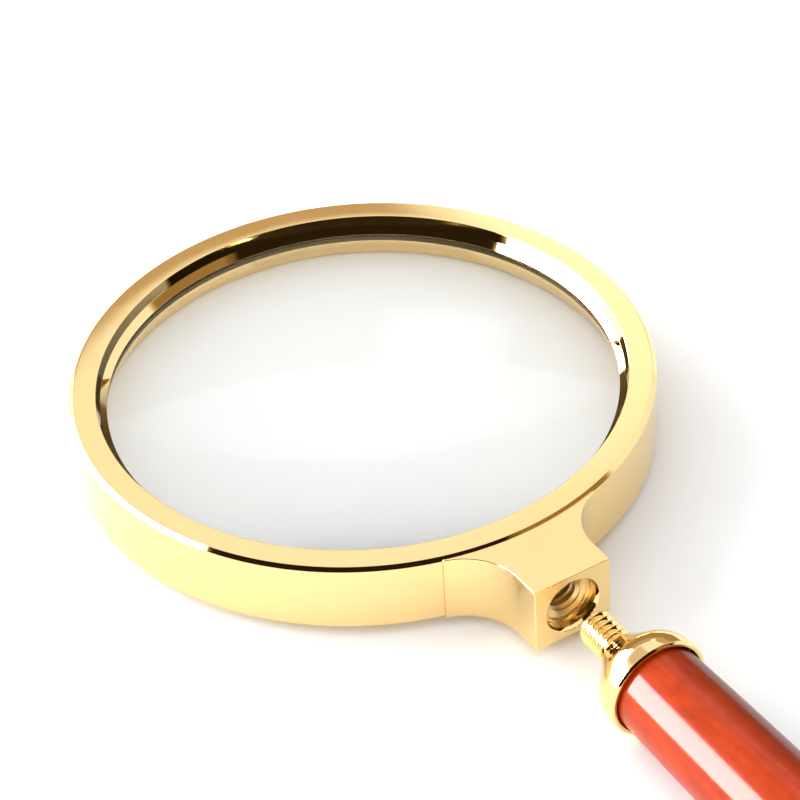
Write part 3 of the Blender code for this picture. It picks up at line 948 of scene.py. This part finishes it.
def soft_window(tree, flat, height, azimuth, half_width, low, high, soft):
    """Soft-edged patch of the dome, 1 inside and 0 outside, from angles in degrees."""
    towards = (math.cos(math.radians(azimuth)), math.sin(math.radians(azimuth)), 0.0)
    aim = add_node(tree, "ShaderNodeVectorMath", {1: towards}, {0: flat},
                   operation="DOT_PRODUCT")
    sides = add_node(tree, "ShaderNodeMapRange", {
        "From Min": math.cos(math.radians(min(180.0, half_width + soft))),
        "From Max": math.cos(math.radians(half_width))},
        {"Value": aim.outputs["Value"]}, interpolation_type="SMOOTHSTEP")
    below = add_node(tree, "ShaderNodeMapRange", {
        "From Min": math.sin(math.radians(low - soft)),
        "From Max": math.sin(math.radians(low))},
        {"Value": height}, interpolation_type="SMOOTHSTEP")
    above = add_node(tree, "ShaderNodeMapRange", {
        "From Min": math.sin(math.radians(high)),
        "From Max": math.sin(math.radians(min(90.0, high + soft))),
        "To Min": 1.0, "To Max": 0.0},
        {"Value": height}, interpolation_type="SMOOTHSTEP")
    part = add_node(tree, "ShaderNodeMath", links={0: sides.outputs["Result"],
                                                   1: below.outputs["Result"]},
                    operation="MULTIPLY")
    whole = add_node(tree, "ShaderNodeMath", links={0: part.outputs["Value"],
                                                    1: above.outputs["Result"]},
                     operation="MULTIPLY")
    return whole.outputs["Value"]


def make_dome(studio):
    """White studio tent with a dark opening where the camera looks in.

    Polished faces mirror its pattern, the table is lit more evenly than that, and the
    camera itself sees plain white.
    """
    even_share = 0.82
    table_lift = 1.16
    flag_level = 0.05
    glass_share = 0.5
    world = bpy.data.worlds.new("studio_tent")
    bpy.context.scene.world = world
    world.use_nodes = True
    tree = world.node_tree
    background = tree.nodes["Background"]
    way = add_node(tree, "ShaderNodeTexCoord").outputs["Generated"]
    parts = add_node(tree, "ShaderNodeSeparateXYZ", links={"Vector": way})
    level = add_node(tree, "ShaderNodeVectorMath", {1: (1.0, 1.0, 0.0)}, {0: way},
                     operation="MULTIPLY")
    flat = add_node(tree, "ShaderNodeVectorMath", links={0: level.outputs["Vector"]},
                    operation="NORMALIZE").outputs["Vector"]
    ahead = math.degrees(studio.heading)
    # Each window: azimuth, half width, lowest and highest elevation, edge, level.
    windows = [
        (ahead, 32.0, -2.0, 24.0, 5.0, 0.42),
        (ahead, 32.0, 25.0, 36.6, 1.5, 0.6),
        (ahead - 5.0, 0.5, 33.5, 36.0, 5.0, 1.6),
        (ahead + 45.0, 20.0, 46.0, 75.0, 10.0, 0.8),
        (ahead - 104.0, 18.0, 22.0, 48.0, 5.0, 0.35),
        (ahead + 175.0, 58.0, 20.0, 62.0, 8.0, 0.02),
        (ahead + 190.0, 72.0, -12.0, 22.0, 4.0, 0.03),
        (ahead + 74.0, 38.0, -3.0, 35.0, 3.0, 34.0),
    ]
    pattern = None
    for azimuth, half_width, low, high, soft, strength in windows:
        inside = soft_window(tree, flat, parts.outputs["Z"], azimuth, half_width, low, high, soft)
        mix = add_node(tree, "ShaderNodeMix", {2: studio.dome, 3: strength}, {0: inside},
                       data_type="FLOAT")
        if pattern is not None:
            tree.links.new(pattern, mix.inputs[2])
        pattern = mix.outputs[0]
    # Diffusers even out what falls on the table, so that its shadows stay soft, and a
    # black flag low on the right keeps that side of the handle darker.
    rays = add_node(tree, "ShaderNodeLightPath")
    softened = add_node(tree, "ShaderNodeMix", {0: even_share, 3: table_lift * studio.dome},
                        {2: pattern}, data_type="FLOAT").outputs[0]
    flag = soft_window(tree, flat, parts.outputs["Z"], ahead - 75.0, 62.0, 0.0, 28.0, 12.0)
    flagged = add_node(tree, "ShaderNodeMix", {3: flag_level}, {0: flag, 2: softened},
                       data_type="FLOAT").outputs[0]
    # Light that reached the table through the glass is brighter than what the glass shows.
    passed = add_node(tree, "ShaderNodeMix", {2: glass_share * studio.dome, 3: studio.through},
                      {0: rays.outputs["Diffuse Depth"]}, data_type="FLOAT").outputs[0]
    strength = flagged
    for ray, shown in (("Is Glossy Ray", pattern), ("Is Transmission Ray", passed)):
        strength = add_node(tree, "ShaderNodeMix",
                            links={0: rays.outputs[ray], 2: strength, 3: shown},
                            data_type="FLOAT").outputs[0]
    strength = add_node(tree, "ShaderNodeMix", {3: studio.dome},
                        {0: rays.outputs["Is Camera Ray"], 2: strength},
                        data_type="FLOAT").outputs[0]
    tree.links.new(strength, background.inputs["Strength"])
    # The dim parts of the room beyond the tent are warm.
    shine = add_node(tree, "ShaderNodeMapRange", {"From Min": 0.3, "From Max": 1.05},
                     {"Value": pattern})
    warm = add_node(tree, "ShaderNodeMix", {6: (1.0, 0.62, 0.22, 1.0), 7: (1.0, 1.0, 1.0, 1.0)},
                    {0: shine.outputs["Result"]}, data_type="RGBA")
    hue = add_node(tree, "ShaderNodeMix", {6: (1.0, 1.0, 1.0, 1.0)},
                   {0: rays.outputs["Is Glossy Ray"], 7: warm.outputs[2]}, data_type="RGBA")
    plain = add_node(tree, "ShaderNodeMix", {7: (1.0, 1.0, 1.0, 1.0)},
                     {0: rays.outputs["Is Transmission Ray"], 6: hue.outputs[2]},
                     data_type="RGBA")
    tree.links.new(plain.outputs[2], background.inputs["Color"])


def make_camera(studio):
    """Camera at the viewing angle, with no depth of field and no shift."""
    data = bpy.data.cameras.new("studio_camera")
    data.lens = studio.focal
    data.sensor_width = 36.0
    camera = bpy.data.objects.new("studio_camera", data)
    bpy.context.scene.collection.objects.link(camera)
    ahead, down, lean = studio.heading, studio.pitch, studio.roll
    front = Vector((math.cos(ahead) * math.cos(down), math.sin(ahead) * math.cos(down),
                    -math.sin(down)))
    right = Vector((math.sin(ahead), -math.cos(ahead), 0.0))
    up = right.cross(front)
    right, up = (right * math.cos(lean) + up * math.sin(lean),
                 up * math.cos(lean) - right * math.sin(lean))
    turn = Matrix((right, up, -front)).transposed().to_4x4()
    camera.matrix_world = Matrix.Translation(studio.place) @ turn
    data.clip_start = 0.01
    data.clip_end = 50.0
    bpy.context.scene.camera = camera


class MAGNIFIER_OT_stage(Operator):
    """Set out the pale table, the white tent and the camera."""

    bl_idname = "magnifier.stage"
    bl_label = "Stage"

    def execute(self, context):
        studio = context.scene.magnifier_studio
        looks = context.scene.magnifier_finishes
        # The magnifier rests on its ferrule and on the far edge of its ring.
        front = Vector((0.0, (FERRULE_BOX[0][1] + FERRULE_BOX[1][1]) / 2.0, FERRULE_BOX[0][2]))
        back = Vector((0.0, RING_BOX[1][1], RING_BOX[0][2]))
        lean = math.atan2(back.z - front.z, back.y - front.y)
        half_width = 4.0
        clearance = 0.05 * MM
        bm = bmesh.new()
        bmesh.ops.create_grid(bm, x_segments=8, y_segments=8, size=half_width)
        table = new_piece("table_top", bm)
        table.matrix_world = (Matrix.Translation(front - Vector((0.0, 0.0, clearance)))
                              @ Matrix.Rotation(lean, 4, "X"))
        # Laminate pressed against a matt plate: flat, pale and without gloss.
        material, tree, shader, place = new_material("matt white laminate", Roughness=0.9,
                                                     Specular_IOR_Level=0.1)
        dust = add_node(tree, "ShaderNodeTexNoise", {"Scale": per_mm(60.0), "Detail": 2.0},
                        {"Vector": place})
        paler = tuple(min(1.0, c * 1.01) for c in looks.paper)
        colour = add_node(tree, "ShaderNodeMix", {6: (*looks.paper, 1.0), 7: (*paler, 1.0)},
                          {0: dust.outputs["Fac"]}, data_type="RGBA")
        tree.links.new(colour.outputs[2], shader.inputs["Base Color"])
        table.data.materials.append(material)
        make_dome(studio)
        make_camera(studio)
        context.scene.view_settings.view_transform = "Standard"
        return {"FINISHED"}


OPERATORS = (
    MAGNIFIER_OT_ring_band,
    MAGNIFIER_OT_bezel,
    MAGNIFIER_OT_glass,
    MAGNIFIER_OT_neck,
    MAGNIFIER_OT_stud,
    MAGNIFIER_OT_ferrule,
    MAGNIFIER_OT_grip,
    MAGNIFIER_OT_end_cap,
    MAGNIFIER_OT_hidden_fittings,
    MAGNIFIER_OT_stage,
)


class MAGNIFIER_PT_pieces(Panel):
    """Lists the pieces, their sizes and their finishes."""

    bl_label = "Hand Magnifier"
    bl_idname = "MAGNIFIER_PT_pieces"
    bl_space_type = "VIEW_3D"
    bl_region_type = "UI"
    bl_category = "Magnifier"

    def draw(self, context):
        scene = context.scene
        for operator in OPERATORS:
            self.layout.operator(operator.bl_idname)
        for group in (scene.magnifier_sizes, scene.magnifier_finishes, scene.magnifier_studio):
            box = self.layout.box()
            for name in group.__annotations__:
                box.prop(group, name)


GROUPS = {
    "magnifier_sizes": MagnifierSizes,
    "magnifier_finishes": MagnifierFinishes,
    "magnifier_studio": MagnifierStudio,
}
CLASSES = (*GROUPS.values(), *OPERATORS, MAGNIFIER_PT_pieces)


def register():
    """Register the classes and hang the settings on the scene."""
    for cls in CLASSES:
        bpy.utils.register_class(cls)
    for name, group in GROUPS.items():
        setattr(bpy.types.Scene, name, PointerProperty(type=group))


def unregister():
    """Take the settings and the classes away again."""
    for name in GROUPS:
        delattr(bpy.types.Scene, name)
    for cls in reversed(CLASSES):
        bpy.utils.unregister_class(cls)


def main():
    """Build every piece."""
    register()
    for operator in OPERATORS:
        getattr(bpy.ops.magnifier, operator.bl_idname.split(".")[1])()


if __name__ == "__main__":
    main()
